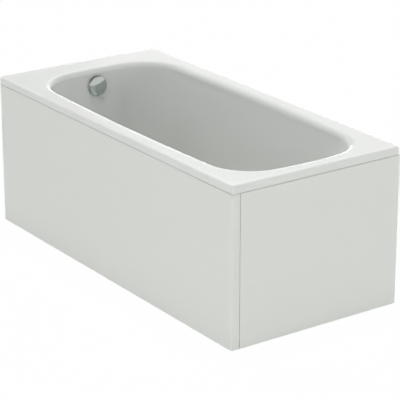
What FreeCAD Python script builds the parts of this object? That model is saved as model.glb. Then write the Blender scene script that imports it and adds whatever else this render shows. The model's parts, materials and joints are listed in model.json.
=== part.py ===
import FreeCAD, Part
import math
import os
from FreeCAD import Vector

# A fitted bathtub with a front panel and an end panel, in millimetres.
# The origin is the centre of the footprint on the floor. +X points to the sloping back rest,
# -X to the overflow and waste, -Y to the front panel and +Z up. Walls stand at +Y and at -X.

# The whole tub
tub_length = 1500.0
tub_width = 700.0
rim_height = 577.0
shell_wall = 5.0

# Rim
rim_skirt = 29.0
rim_round = 10.0
rim_side_width = 66.0
rim_overflow_width = 125.0
rim_back_width = 61.0

# Mouth of the basin, where the wall planes meet the top of the rim
mouth_side_bow = 20.0
mouth_overflow_bow = 20.0
mouth_back_bow = 38.0
mouth_overflow_corner = 166.0
mouth_back_corner = 160.0

# Floor of the basin, where the wall planes meet the floor
floor_height = 150.0
floor_side_inset = 54.0
floor_overflow_inset = 60.0
floor_back_inset = 294.0
floor_side_bow = 14.0
floor_overflow_bow = 14.0
floor_back_bow = 30.0
floor_overflow_corner = 150.0
floor_back_corner = 150.0

# Rounds of the basin
roll_run = 14.0
cove_run = 69.0
roll_strips = 5
cove_strips = 5
corner_pieces = 6
side_pieces = 4
end_pieces = 2

# Timber bonded under the shell
board_thickness = 18.0
board_margin = 6.0
batten_thickness = 18.0
batten_skirt_gap = 5.0
batten_share = 0.9

# Leg bars, pressed channels across the base board
bar_width = 40.0
bar_height = 20.0
bar_sheet = 2.0
bar_end_gap = 50.0
bar_from_drain = 100.0
bar_from_board_end = 90.0

# Levelling feet
foot_inset = 40.0
foot_rod_r = 5.0
foot_rod_spare = 3.0
foot_travel = 30.0
foot_pad_r = 25.0
foot_pad_thickness = 8.0
foot_boss_r = 10.0
foot_boss_height = 5.0
foot_collar_flats = 16.0
foot_collar_height = 8.0
foot_nut_flats = 17.0
foot_nut_height = 8.0
turning_fit = 0.05

# Panels
panel_wall = 4.0
panel_return = 31.4
panel_corner = 8.0
panel_floor_gap = 2.0
panel_top_gap = 1.0
panel_side_gap = 2.2
rest_gap = 0.3

# Panel clips on the battens
clip_width = 30.0
clip_sheet = 1.5
clip_reach = 16.0
clip_plate = 22.0
front_clip_shares = (-0.36, 0.0, 0.36)
end_clip_shares = (-0.28, 0.28)

# Stays at the foot of the front panel and floor angles behind the end panel
stay_seat = 26.0
stay_sheet = 3.0
stay_reach = 14.0
angle_width = 40.0
angle_height = 34.0
angle_base = 38.0
angle_hole_r = 3.0
end_angle_shares = (-0.28, 0.28)

# Wall brackets
bracket_width = 70.0
bracket_sheet = 2.0
bracket_drop = 27.0
bracket_step = 6.0
bracket_seat = 38.0
bracket_hole_r = 3.5
bracket_hole_spacing = 40.0
bracket_from_end = 300.0

# Screws
screw_r = 2.5
screw_head_flats = 8.0
screw_head_height = 3.0
screw_bite = 13.0

# Waste in the floor
drain_from_end = 135.0
drain_hole_r = 26.0
recess_r = 44.0
drain_flange_r = 40.0
drain_flange_thickness = 2.0
drain_gasket = 1.0
drain_neck_r = 22.5
drain_neck_wall = 2.5
drain_neck_length = 22.0
lower_gasket = 2.0
waste_flange_r = 38.0
waste_flange_thickness = 3.0
waste_wall = 3.0
waste_depth = 52.0
waste_neck_r = 20.0
waste_neck_length = 12.0
branch_r = 15.0
branch_drop = 34.0
branch_reach = 50.0
spider_hub_r = 6.5
spider_arm = 3.0
spider_height = 6.0

# Plug
plug_lift = 12.0
plug_r = 31.0
plug_edge = 3.0
plug_dome = 2.5
plug_crown_r = 14.0
plug_stem_r = 3.0
plug_seal_r = 25.0
plug_seal_thickness = 2.0
rocker_swing = 35.0
rocker_nose_r = 2.5
rocker_width = 8.0
rocker_hub_r = 4.5
rocker_pin_r = 1.5
rocker_lug = 7.0
rocker_taper_share = 0.4

# Trap and outlet
trap_pipe_r = 20.0
trap_wall = 2.5
trap_bend = 32.0
trap_nut_flats = 54.0
trap_nut_height = 18.0
outlet_nut_height = 12.0
outlet_pipe_r = 20.0
outlet_wall_gap = 50.0
outlet_socket = 28.0
trap_socket = 22.0
trap_socket_wall = 3.0

# Overflow in the end wall
overflow_drop = 64.0
overflow_hole_r = 26.0
overflow_face_r = 30.0
overflow_face_thickness = 3.0
overflow_slot_r = 5.0
overflow_slot_ring = 15.0
overflow_slots = 4
overflow_screw_ring = 18.5
bridge_half_width = 5.5
bridge_thickness = 4.0
overflow_gasket = 2.5
overflow_flange_r = 36.0
overflow_body_r = 29.0
overflow_body_depth = 34.0
overflow_body_wall = 3.0
overflow_spout_r = 14.0
overflow_spout_reach = 42.0

# Knob that works the plug
knob_r = 39.8
knob_gap = 1.5
knob_depth = 15.2
knob_wall = 2.0
knob_dome = 5.5
knob_dome_shares = (0.75, 0.5, 0.25)
knob_round = 2.0
knob_hub_r = 9.0
knob_nub_r = 3.2
knob_nub_out = 2.4
knob_turn = 90.0
spindle_r = 5.0
spindle_fit = 0.08
spindle_length = 28.0
crank_r = 13.0
crank_thickness = 4.0

# Overflow pipe and control cable
pipe_r = 11.0
pipe_wall = 1.5
pipe_bend = 42.0
pipe_nut_flats = 34.0
pipe_nut_height = 14.0
cable_r = 2.5
cable_side = 25.0
cable_gland_r = 4.5
cable_gland_length = 12.0

overrun = 1.0
bend_share = 0.45
mitred = 1

# Places worked out from the sizes
left = -tub_length / 2
right = tub_length / 2
front = -tub_width / 2
back = tub_width / 2
skirt_bottom = rim_height - rim_skirt
plate_under = rim_height - shell_wall
floor_under = floor_height - shell_wall
board_bottom = floor_under - board_thickness
bar_bottom = board_bottom - bar_height
batten_bottom = plate_under - batten_thickness
panel_top = skirt_bottom - panel_top_gap
bar_length = tub_width - 2 * bar_end_gap
foot_y = bar_length / 2 - foot_inset
wall_tilt = math.atan2(floor_overflow_inset, rim_height - floor_height)
drain_x = left + rim_overflow_width + floor_overflow_inset + drain_from_end
board_end = right - rim_back_width - floor_back_inset - cove_run - board_margin
bar_overflow_x = drain_x + bar_from_drain
bar_back_x = board_end - bar_from_board_end
back_bracket_x = right - bracket_from_end
outlet_pipe_end = back - outlet_wall_gap
recess_depth = drain_gasket + drain_flange_thickness
recess_floor = floor_height - recess_depth
waste_top = recess_floor - shell_wall - lower_gasket
branch_z = waste_top - branch_drop
overflow_z = rim_height - overflow_drop
overflow_x = left + rim_overflow_width + overflow_drop * math.tan(wall_tilt)
overflow_point = Vector(overflow_x, 0, overflow_z)
inward = Vector(math.cos(wall_tilt), 0, math.sin(wall_tilt))
down_wall = Vector(math.sin(wall_tilt), 0, -math.cos(wall_tilt))
x_axis = Vector(1, 0, 0)
y_axis = Vector(0, 1, 0)
z_axis = Vector(0, 0, 1)


def box(x0, x1, y0, y1, z0, z1):
    """A block between two values on each axis."""
    return Part.makeBox(x1 - x0, y1 - y0, z1 - z0, Vector(x0, y0, z0))


def rod(radius, start, end):
    """A round bar between two points."""
    run = end - start
    return Part.makeCylinder(radius, run.Length, start, run)


def tube(outer, inner, start, end):
    """A round pipe between two points, open at both ends."""
    along = (end - start).normalize() * overrun
    return rod(outer, start, end).cut(rod(inner, start - along, end + along))


def hexagon(flats, start, end):
    """A hexagonal bar between two points, by its width across the flats."""
    axis = (end - start).normalize()
    side = y_axis if abs(axis.y) < abs(axis.z) + abs(axis.x) else z_axis
    other = axis.cross(side)
    reach = flats / math.sqrt(3)
    turns = [math.pi * k / 3 for k in range(7)]
    corners = [start + side * (reach * math.cos(t)) + other * (reach * math.sin(t)) for t in turns]
    return Part.Face(Part.makePolygon(corners)).extrude(end - start)


def turned(points, base, axis):
    """A solid of revolution about an axis, from points given as (distance along, radius)."""
    side = y_axis
    corners = [base + axis * along + side * radius for along, radius in points]
    return Part.Face(Part.makePolygon(corners + corners[:1])).revolve(base, axis, 360)


def joined(*shapes):
    """One solid from several that touch or overlap."""
    whole = shapes[0].fuse(list(shapes[1:]))
    return whole.removeSplitter()


def group(shapes):
    """Separate solids that share one node."""
    return Part.makeCompound(shapes)


def edges_where(shape, test):
    """The edges whose bounding box passes a test."""
    return [edge for edge in shape.Edges if test(edge.BoundBox)]


def upright(bounds):
    """True for a vertical straight edge."""
    return bounds.ZLength > overrun and bounds.XLength + bounds.YLength < turning_fit


def level(value, target):
    """True where two heights are the same."""
    return abs(value - target) < turning_fit


# The basin is a ring of eight arcs at each height: two bowed sides, two bowed ends and four
# corners that are tangent to both. Its walls are ruled between the ring at the mouth and the
# ring at the floor, and rational curved strips round the walls over the rim and into the floor.

def tangent_corner(side_centre, side_r, end_centre, end_r, corner_r):
    """The centre of a corner arc inside a side arc and an end arc, and its two tangent points."""
    apart = end_centre - side_centre
    distance = apart.Length
    along = apart.normalize()
    to_side = side_r - corner_r
    to_end = end_r - corner_r
    reach = (to_side ** 2 - to_end ** 2 + distance ** 2) / (2 * distance)
    rise = math.sqrt(to_side ** 2 - reach ** 2)
    across = Vector(-along.y, along.x, 0)
    foot = side_centre + along * reach
    centre = max(foot + across * rise, foot - across * rise, key=lambda point: point.y)
    on_side = side_centre + (centre - side_centre).normalize() * side_r
    on_end = end_centre + (centre - end_centre).normalize() * end_r
    return centre, on_side, on_end


def arc_pieces(start, end, centre, count):
    """Equal clockwise arcs between two points, each as three weighted control points."""
    spoke = start - centre
    half_turn = spoke.getAngle(end - centre) / count / 2
    pull = math.cos(half_turn)
    arcs = []
    for piece in range(count):
        first, middle, last = [
            FreeCAD.Rotation(z_axis, -math.degrees(half_turn * (2 * piece + step))).multVec(spoke)
            for step in range(3)]
        arcs.append([(centre + first, 1.0), (centre + middle / pull, pull), (centre + last, 1.0)])
    return arcs


def bow_radius(half_chord, bow):
    """The radius of an arc from its half chord and its bow."""
    return (half_chord ** 2 + bow ** 2) / (2 * bow)


def mix(first, second, share):
    """A value part of the way from one to another."""
    return first + (second - first) * share


def ring(height, grow, at_height):
    """The wall's ring of arcs at a height, grown outwards and laid at another height."""
    share = (rim_height - height) / (rim_height - floor_height)
    low_x = left + rim_overflow_width + floor_overflow_inset * share - grow
    high_x = right - rim_back_width - floor_back_inset * share + grow
    half = back - rim_side_width - floor_side_inset * share + grow
    side_bow = mix(mouth_side_bow, floor_side_bow, share)
    low_bow = mix(mouth_overflow_bow, floor_overflow_bow, share)
    high_bow = mix(mouth_back_bow, floor_back_bow, share)
    low_corner = mix(mouth_overflow_corner, floor_overflow_corner, share) + grow
    high_corner = mix(mouth_back_corner, floor_back_corner, share) + grow
    side_r = bow_radius((high_x - low_x) / 2 - grow, side_bow) + grow
    low_r = bow_radius(half - grow, low_bow) + grow
    high_r = bow_radius(half - grow, high_bow) + grow
    side_c = Vector((low_x + high_x) / 2, half - side_r, 0)
    low_c = Vector(low_x + low_r, 0, 0)
    high_c = Vector(high_x - high_r, 0, 0)
    corner_h, side_h, end_h = tangent_corner(side_c, side_r, high_c, high_r, high_corner)
    corner_l, side_l, end_l = tangent_corner(side_c, side_r, low_c, low_r, low_corner)

    def flip(point):
        return Vector(point.x, -point.y, 0)

    corner, side, end = corner_pieces, side_pieces, end_pieces
    arcs = (arc_pieces(side_l, side_h, side_c, side)
            + arc_pieces(side_h, end_h, corner_h, corner)
            + arc_pieces(end_h, flip(end_h), high_c, end)
            + arc_pieces(flip(end_h), flip(side_h), flip(corner_h), corner)
            + arc_pieces(flip(side_h), flip(side_l), flip(side_c), side)
            + arc_pieces(flip(side_l), flip(end_l), flip(corner_l), corner)
            + arc_pieces(flip(end_l), end_l, low_c, end)
            + arc_pieces(end_l, side_l, corner_l, corner))
    lift = Vector(0, 0, at_height)
    return [[(point + lift, weight) for point, weight in arc] for arc in arcs]


def between(upper, lower, share):
    """The ring part of the way down the ruled walls between two rings."""
    rings = []
    for high, low in zip(upper, lower):
        arc = []
        for (point, weight), (other, other_weight) in zip(high, low):
            total = mix(weight, other_weight, share)
            place = point * (weight * (1 - share)) + other * (other_weight * share)
            arc.append((place * (1 / total), total))
        rings.append(arc)
    return rings


def surface_through(arcs, weights):
    """A rational surface through the matching arcs of a stack of rings."""
    rows = len(arcs)
    points = [[point for point, _ in arc] for arc in arcs]
    pulls = [[pull * weight for _, pull in arc] for arc, weight in zip(arcs, weights)]
    surface = Part.BSplineSurface()
    surface.buildFromPolesMultsKnots(
        points, [rows, rows], [3, 3], [0, 1], [0, 1], False, False, rows - 1, 2, pulls)
    return surface


def strips(rings, weights, count):
    """Faces across a stack of rings, cut into narrow strips that meet smoothly."""
    faces = []
    for arcs in zip(*rings):
        surface = surface_through(arcs, weights)
        for step in range(count):
            strip = surface.copy()
            strip.segment(step / count, (step + 1) / count, 0, 1)
            faces.append(strip.toShape())
    return faces


def curved_ring(rings, pull, share):
    """The ring part of the way round the curve that three rings control."""
    high, middle, low = rings
    weights = ((1 - share) ** 2, 2 * share * (1 - share) * pull, share ** 2)
    arcs = []
    for poles in zip(high, middle, low):
        arc = []
        for column in zip(*poles):
            total = sum(weight * own for weight, (_, own) in zip(weights, column))
            place = Vector()
            for weight, (point, own) in zip(weights, column):
                place = place + point * (weight * own)
            arc.append((place * (1 / total), total))
        arcs.append(arc)
    return arcs


def facets(rings, pull, count):
    """Ruled faces along the curve that three rings control."""
    stack = [curved_ring(rings, pull, step / count) for step in range(count + 1)]
    faces = []
    for upper, lower in zip(stack, stack[1:]):
        faces += strips([upper, lower], [1, 1], 1)
    return faces


def ring_wire(arcs):
    """A closed wire along a ring of arcs."""
    edges = []
    for arc in arcs:
        curve = Part.BSplineCurve()
        points = [point for point, _ in arc]
        weights = [weight for _, weight in arc]
        curve.buildFromPolesMultsKnots(points, [3, 3], [0, 1], False, 2, weights)
        edges.append(curve.toShape())
    return Part.Wire(edges)


def basin_skin(grow, top, bottom):
    """One skin of the basin: roll, wall and cove faces, with its wires in the rim and floor.

    The skin that bathers see is smooth, and the one below is ruled in narrow flats."""
    mouth = ring(top, grow, top)
    base = ring(bottom, grow, bottom)
    wall_top = rim_height - roll_run
    wall_end = floor_height + cove_run
    upper = between(mouth, base, (top - wall_top) / (top - bottom))
    lower = between(mouth, base, (top - wall_end) / (top - bottom))
    rim_ring = ring(rim_height, roll_run, top)
    floor_ring = ring(floor_height, -cove_run, bottom)
    pull = math.cos((math.pi / 2 - wall_tilt) / 2)
    faces = strips([upper, lower], [1, 1], 1)
    if grow:
        faces += strips([rim_ring, upper], [1, 1], 1)
        faces += facets([lower, base, floor_ring], pull, cove_strips)
    else:
        faces += strips([rim_ring, mouth, upper], [1, pull, 1], roll_strips)
        faces += strips([lower, base, floor_ring], [1, pull, 1], cove_strips)
    return faces, ring_wire(rim_ring), ring_wire(floor_ring)


def rim_tray():
    """The flat rim with its skirt, rounded outside and hollow below."""
    block = box(left, right, front, back, skirt_bottom, rim_height)
    rounded = edges_where(block, lambda b: upright(b) or level(b.ZMin, rim_height))
    block = block.makeFillet(rim_round, rounded)
    inner = box(left + shell_wall, right - shell_wall, front + shell_wall, back - shell_wall,
                skirt_bottom - overrun, plate_under)
    inner = inner.makeFillet(rim_round - shell_wall, edges_where(inner, upright))
    return block.cut(inner)


def flat_at(face, height):
    """True for a level face at a height."""
    return level(face.BoundBox.ZMin, height) and level(face.BoundBox.ZMax, height)


def bath_shell():
    """The moulded tub: rim, roll, walls, cove and floor in one even skin."""
    tray = rim_tray()
    inner, inner_rim, inner_floor = basin_skin(0, rim_height, floor_height)
    outer, outer_rim, outer_floor = basin_skin(shell_wall, plate_under, floor_under)
    faces = inner + outer + [Part.Face(inner_floor), Part.Face(outer_floor)]
    for face in tray.Faces:
        if flat_at(face, rim_height):
            face = Part.makeFace([face.OuterWire, inner_rim], "Part::FaceMakerBullseye")
        elif flat_at(face, plate_under):
            face = Part.makeFace([face.OuterWire, outer_rim], "Part::FaceMakerBullseye")
        faces.append(face)
    skin = Part.makeCompound(faces)
    skin.sewShape()
    shell = Part.makeSolid(skin.Shells[0])
    if shell.Volume < 0:
        shell.reverse()
    centre = Vector(drain_x, 0, 0)
    boss = rod(recess_r + shell_wall, centre + z_axis * (recess_floor - shell_wall),
               centre + z_axis * (floor_under + turning_fit))
    shell = shell.fuse(boss)
    recess = rod(recess_r, centre + z_axis * recess_floor, centre + z_axis * (floor_height + overrun))
    hole = rod(drain_hole_r, centre + z_axis * board_bottom, centre + z_axis * (floor_height + overrun))
    reach = inward * (shell_wall + roll_run)
    overflow = rod(overflow_hole_r, overflow_point - reach, overflow_point + reach)
    return shell.cut([recess, hole, overflow])


def base_board():
    """The board bonded under the floor, which the leg bars are screwed to."""
    x0 = drain_x + recess_r + shell_wall + board_margin
    x1 = board_end
    half = back - rim_side_width - floor_side_inset - cove_run - board_margin
    board = box(x0, x1, -half, half, board_bottom, floor_under)
    board = board.makeFillet(board_margin, edges_where(board, upright))
    places = bar_screw_places(bar_overflow_x) + bar_screw_places(bar_back_x)
    return board.cut(pilots(places))


def batten_width(rim_width):
    """A batten's width from the width of the rim above it."""
    return (rim_width - shell_wall - batten_skirt_gap - roll_run) * batten_share


def battens():
    """The four timber battens bonded under the rim, by name."""
    side = batten_width(rim_side_width)
    low = batten_width(rim_overflow_width)
    high = batten_width(rim_back_width)
    edge = shell_wall + batten_skirt_gap
    low_x = left + edge
    high_x = right - edge
    across = back - edge - side - batten_skirt_gap
    timbers = {
        "rim_batten_front": box(low_x, high_x, front + edge, front + edge + side,
                                batten_bottom, plate_under),
        "rim_batten_back": box(low_x, high_x, back - edge - side, back - edge,
                               batten_bottom, plate_under),
        "rim_batten_overflow_end": box(low_x, low_x + low, -across, across,
                                       batten_bottom, plate_under),
        "rim_batten_panel_end": box(high_x - high, high_x, -across, across,
                                    batten_bottom, plate_under),
    }
    holes = pilots(clip_screw_places())
    return {name: timber.cut(holes) for name, timber in timbers.items()}


def leg_bar(x):
    """A channel with its web against the base board and a hole for each foot's rod."""
    half = bar_width / 2
    outer = box(x - half, x + half, -bar_length / 2, bar_length / 2, bar_bottom, board_bottom)
    inner = box(x - half + bar_sheet, x + half - bar_sheet, -bar_length / 2 - overrun,
                bar_length / 2 + overrun, bar_bottom - overrun, board_bottom - bar_sheet)
    holes = []
    for y in (-foot_y, foot_y):
        centre = Vector(x, y, 0)
        holes.append(rod(foot_rod_r + rest_gap, centre + z_axis * bar_bottom,
                         centre + z_axis * (board_bottom + overrun)))
    for place in bar_screw_places(x):
        holes.append(rod(screw_r, place - z_axis * bar_height, place + z_axis * bar_height))
    return outer.cut([inner] + holes)


def bar_screw_places(x):
    """Where a bar is screwed to the base board, on the underside of its web."""
    half = (back - rim_side_width - floor_side_inset - cove_run - board_margin) / 2
    return [Vector(x, y, board_bottom - bar_sheet) for y in (-half, half)]


def screw(seat, direction, bite):
    """A hexagon-headed screw whose head sits on a surface and whose shank runs in."""
    head = hexagon(screw_head_flats, seat - direction * screw_head_height, seat)
    return joined(head, rod(screw_r, seat - direction * (screw_head_height / 2),
                            seat + direction * bite))


def pilots(places):
    """The holes in timber above the heads of upright screws."""
    return [rod(screw_r, place, place + z_axis * screw_bite) for place in places]


def foot_rod(x, y):
    """The threaded rod of a foot, with the collar that a spanner turns."""
    centre = Vector(x, y, 0)
    start = foot_pad_thickness / 2 + rest_gap
    collar = foot_pad_thickness + foot_boss_height + rest_gap
    top = board_bottom + foot_travel + foot_rod_spare
    shank = rod(foot_rod_r, centre + z_axis * start, centre + z_axis * top)
    grip = hexagon(foot_collar_flats, centre + z_axis * collar,
                   centre + z_axis * (collar + foot_collar_height))
    return joined(shank, grip)


def foot_pad(x, y):
    """The round pad of a foot, with the socket that the rod turns in."""
    top = foot_pad_thickness + foot_boss_height
    socket = foot_rod_r + turning_fit
    return turned([(0, 0), (0, foot_pad_r), (foot_pad_thickness, foot_pad_r),
                   (foot_pad_thickness, foot_boss_r), (top, foot_boss_r), (top, socket),
                   (foot_pad_thickness / 2, socket), (foot_pad_thickness / 2, 0)],
                  Vector(x, y, 0), z_axis)


def foot_nuts(x):
    """The nuts that lock each rod of one bar, above and below its web."""
    nuts = []
    for y in (-foot_y, foot_y):
        centre = Vector(x, y, 0)
        for low in (board_bottom, board_bottom - bar_sheet - foot_nut_height):
            start = centre + z_axis * low
            end = start + z_axis * foot_nut_height
            bore = rod(foot_rod_r + turning_fit, start - z_axis * overrun, end + z_axis * overrun)
            nuts.append(hexagon(foot_nut_flats, start, end).cut(bore))
    return nuts


def front_panel():
    """The front panel, a moulded tray that returns round both corners."""
    rear = front + panel_return
    outer = box(left, right, front, rear, panel_floor_gap, panel_top)
    corners = edges_where(outer, lambda b: upright(b) and level(b.YMin, front))
    outer = outer.makeFillet(panel_corner, corners)
    inner = box(left + panel_wall, right - panel_wall, front + panel_wall, rear + overrun,
                panel_floor_gap + panel_wall, panel_top - panel_wall)
    corners = edges_where(inner, lambda b: upright(b) and level(b.YMin, front + panel_wall))
    inner = inner.makeFillet(panel_corner - panel_wall, corners)
    return outer.cut(inner)


def end_panel():
    """The end panel, a tray between the front panel's return and the wall."""
    near = front + panel_return + panel_side_gap
    outer = box(right - panel_return, right, near, back, panel_floor_gap, panel_top)
    inner = box(right - panel_return - overrun, right - panel_wall, near + panel_wall,
                back - panel_wall, panel_floor_gap + panel_wall, panel_top - panel_wall)
    return outer.cut(inner)


def swept_profile(points, width, centre, outwards):
    """A sheet profile drawn outwards and upwards, extruded to its width about a centre."""
    along = outwards.cross(z_axis)
    corners = [centre + outwards * out + z_axis * up - along * (width / 2) for out, up in points]
    return Part.Face(Part.makePolygon(corners + corners[:1])).extrude(along * width)


def panel_clip(centre, outwards):
    """A spring clip under a batten, with two blades that hold the panel's top lip.

    The centre lies in the panel's outer face, at height zero."""
    web = -panel_return - rest_gap
    tip = web + clip_reach
    lip_top = panel_top + rest_gap
    lip_low = panel_top - panel_wall - rest_gap
    seat = batten_bottom
    points = [
        (web - clip_plate / 2, seat), (web + clip_plate / 2, seat),
        (web + clip_plate / 2, seat - clip_sheet), (web, seat - clip_sheet),
        (web, lip_top + clip_sheet), (tip, lip_top + clip_sheet), (tip, lip_top),
        (web, lip_top), (web, lip_low), (tip, lip_low), (tip, lip_low - clip_sheet),
        (web - clip_sheet, lip_low - clip_sheet), (web - clip_sheet, seat - clip_sheet),
        (web - clip_plate / 2, seat - clip_sheet),
    ]
    clip = swept_profile(points, clip_width, centre, outwards)
    seat_point = clip_screw_place(centre, outwards)
    hole = rod(screw_r, seat_point - z_axis * clip_sheet, seat_point + z_axis * batten_thickness)
    return clip.cut(hole)


def clip_screw_place(centre, outwards):
    """Where a clip's screw head sits, under its plate and inside its web."""
    inset = -panel_return - rest_gap - clip_sheet - screw_head_flats
    return centre + outwards * inset + z_axis * (batten_bottom - clip_sheet)


def clip_screw_places():
    """Where every clip's screw head sits."""
    places = [clip_screw_place(centre, -y_axis) for centre in front_clip_centres()]
    return places + [clip_screw_place(centre, x_axis) for centre in end_clip_centres()]


def front_clip_centres():
    """Points in the front face above which the front clips sit."""
    return [Vector(tub_length * share, front, 0) for share in front_clip_shares]


def end_clip_centres():
    """Points in the end face above which the end clips sit."""
    return [Vector(right, tub_width * share, 0) for share in end_clip_shares]


def panel_stay(x):
    """A strip from a leg bar down to the front panel's bottom lip."""
    end = -bar_length / 2
    lip = panel_floor_gap + panel_wall + rest_gap
    tip = front + panel_wall + stay_reach
    seat = end + stay_seat
    points = [
        (-seat, bar_bottom), (-end + rest_gap + stay_sheet, bar_bottom),
        (-end + rest_gap + stay_sheet, lip + stay_sheet), (-tip, lip + stay_sheet),
        (-tip, lip), (-end + rest_gap, lip), (-end + rest_gap, bar_bottom - stay_sheet),
        (-seat, bar_bottom - stay_sheet),
    ]
    return swept_profile(points, bar_width, Vector(x, 0, 0), -y_axis)


def floor_angle(y):
    """An angle screwed to the floor that holds the end panel's bottom lip down."""
    lip = panel_floor_gap + panel_wall + rest_gap
    web = -panel_return - rest_gap
    tip = web + stay_reach
    rear = web - angle_base
    points = [
        (rear, 0), (web, 0), (web, lip), (tip, lip), (tip, lip + bracket_sheet),
        (web, lip + bracket_sheet), (web, angle_height), (web - bracket_sheet, angle_height),
        (web - bracket_sheet, bracket_sheet), (rear, bracket_sheet),
    ]
    angle = swept_profile(points, angle_width, Vector(right, y, 0), x_axis)
    x = right + web - angle_base / 2
    holes = []
    for side in (-1, 1):
        centre = Vector(x, y + side * angle_width / 4, 0)
        holes.append(rod(angle_hole_r, centre - z_axis * overrun, centre + z_axis * angle_height))
    return angle.cut(holes)


def wall_bracket(centre, outwards):
    """A stepped bracket from a batten, under the skirt and down the wall's face."""
    thick = bracket_sheet
    inside = -shell_wall - rest_gap
    under = skirt_bottom - bracket_step
    points = [
        (-bracket_seat, batten_bottom), (inside, batten_bottom),
        (inside, under + thick), (0, under + thick), (0, under - bracket_drop),
        (-thick, under - bracket_drop), (-thick, under), (inside - thick, under),
        (inside - thick, batten_bottom - thick), (-bracket_seat, batten_bottom - thick),
    ]
    bracket = swept_profile(points, bracket_width, centre, outwards)
    along = outwards.cross(z_axis)
    holes = []
    for side in (-1, 1):
        middle = centre + along * (side * bracket_hole_spacing / 2)
        middle = middle + z_axis * (under - bracket_drop / 2)
        holes.append(rod(bracket_hole_r, middle - outwards * bracket_step, middle + outwards * overrun))
    return bracket.cut(holes)


def bracket_places():
    """The wall brackets' centres in the rim's outer planes, with their directions."""
    return {
        "wall_bracket_back_1": (Vector(-back_bracket_x, back, 0), y_axis),
        "wall_bracket_back_2": (Vector(back_bracket_x, back, 0), y_axis),
        "wall_bracket_end": (Vector(left, 0, 0), -x_axis),
    }


def drain_flange():
    """The chromed strainer ring in the floor, with its neck and the spider for the stem."""
    mouth = drain_neck_r - drain_neck_wall
    base = Vector(drain_x, 0, recess_floor + drain_gasket)
    top = drain_flange_thickness
    ring_part = turned([(0, drain_neck_r), (0, drain_flange_r), (top, drain_flange_r - top),
                        (top, mouth), (-drain_neck_length, mouth),
                        (-drain_neck_length, drain_neck_r)], base, z_axis)
    low = -drain_neck_length / 2
    arm = box(drain_x - mouth - overrun, drain_x + mouth + overrun, -spider_arm / 2, spider_arm / 2,
              base.z + low, base.z + low + spider_height)
    cross = arm.copy()
    cross.rotate(base, z_axis, 90)
    hub = rod(spider_hub_r, base + z_axis * low, base + z_axis * (low + spider_height))
    bore = rod(plug_stem_r + spindle_fit, base + z_axis * (low - overrun),
               base + z_axis * (low + spider_height + overrun))
    return joined(ring_part, arm, cross, hub).cut(bore)


def waste_gaskets():
    """The washers above and below the floor and behind the end wall."""
    centre = Vector(drain_x, 0, 0)
    inner = drain_neck_r + rest_gap
    upper = tube(drain_flange_r - shell_wall / 2, inner, centre + z_axis * recess_floor,
                 centre + z_axis * (recess_floor + drain_gasket))
    lower = tube(waste_flange_r - shell_wall / 2, inner, centre + z_axis * waste_top,
                 centre + z_axis * (waste_top + lower_gasket))
    start = -shell_wall - rest_gap
    end = tube(overflow_flange_r - overrun, overflow_hole_r,
               along_overflow(start - overflow_gasket), along_overflow(start))
    return group([upper, lower, end])


def rocker_arm():
    """The rocker's arm from its pin to its nose, set by the plug's lift and the swing."""
    return plug_lift / 2 / math.sin(math.radians(rocker_swing / 2))


def rocker_pivot():
    """The rocker's pivot in the branch of the waste body."""
    run = rocker_arm() * math.cos(math.radians(rocker_swing / 2))
    return Vector(drain_x - run, 0, branch_z)


def waste_body():
    """The waste body under the floor, with a branch for the overflow pipe and the rocker."""
    centre = Vector(drain_x, 0, 0)
    outer = drain_neck_r + waste_wall
    bore = drain_neck_r + turning_fit
    low = waste_top - waste_depth
    body = turned([
        (waste_top, bore), (waste_top, waste_flange_r),
        (waste_top - waste_flange_thickness, waste_flange_r),
        (waste_top - waste_flange_thickness, outer), (low + waste_wall, outer),
        (low, waste_neck_r), (low - waste_neck_length, waste_neck_r),
        (low - waste_neck_length, waste_neck_r - waste_wall), (low, waste_neck_r - waste_wall),
        (low + waste_wall, bore)], centre, z_axis)
    axis = Vector(drain_x, 0, branch_z)
    end = axis - x_axis * branch_reach
    branch = rod(branch_r, axis, end)
    mouth = waste_gland_point()
    root = mouth + x_axis * cable_gland_length
    boss_r = cable_gland_r + waste_wall / 2
    boss = rod(boss_r, root - y_axis * (cable_side - branch_r + waste_wall / 2),
               root + y_axis * boss_r)
    gland = joined(boss, rod(cable_gland_r, mouth, root))
    seat = rod(cable_r, mouth - x_axis * overrun, mouth + x_axis * (cable_gland_length / 2))
    core = rod(bore, centre + z_axis * (low + waste_wall), centre + z_axis * (waste_top + overrun))
    way = rod(branch_r - waste_wall, axis, end - x_axis * overrun)
    pivot = rocker_pivot()
    pin = rod(rocker_pin_r, pivot - y_axis * branch_reach, pivot + y_axis * branch_reach)
    return joined(body, branch.cut(core), gland).cut([way, pin, seat])


def waste_gland_point():
    """The mouth of the cable gland beside the branch, facing the overflow end."""
    return Vector(rocker_pivot().x - rocker_lug * 2 - cable_gland_length, cable_side, branch_z)


def cable_gland(mouth, outwards):
    """A nipple that the cable's sheath ends in, with its mouth at a point."""
    root = mouth - outwards * (cable_gland_length + waste_wall / 2)
    inner = mouth - outwards * (cable_gland_length / 2)
    return rod(cable_gland_r, root, mouth).cut(rod(cable_r, inner, mouth + outwards * overrun))


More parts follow.
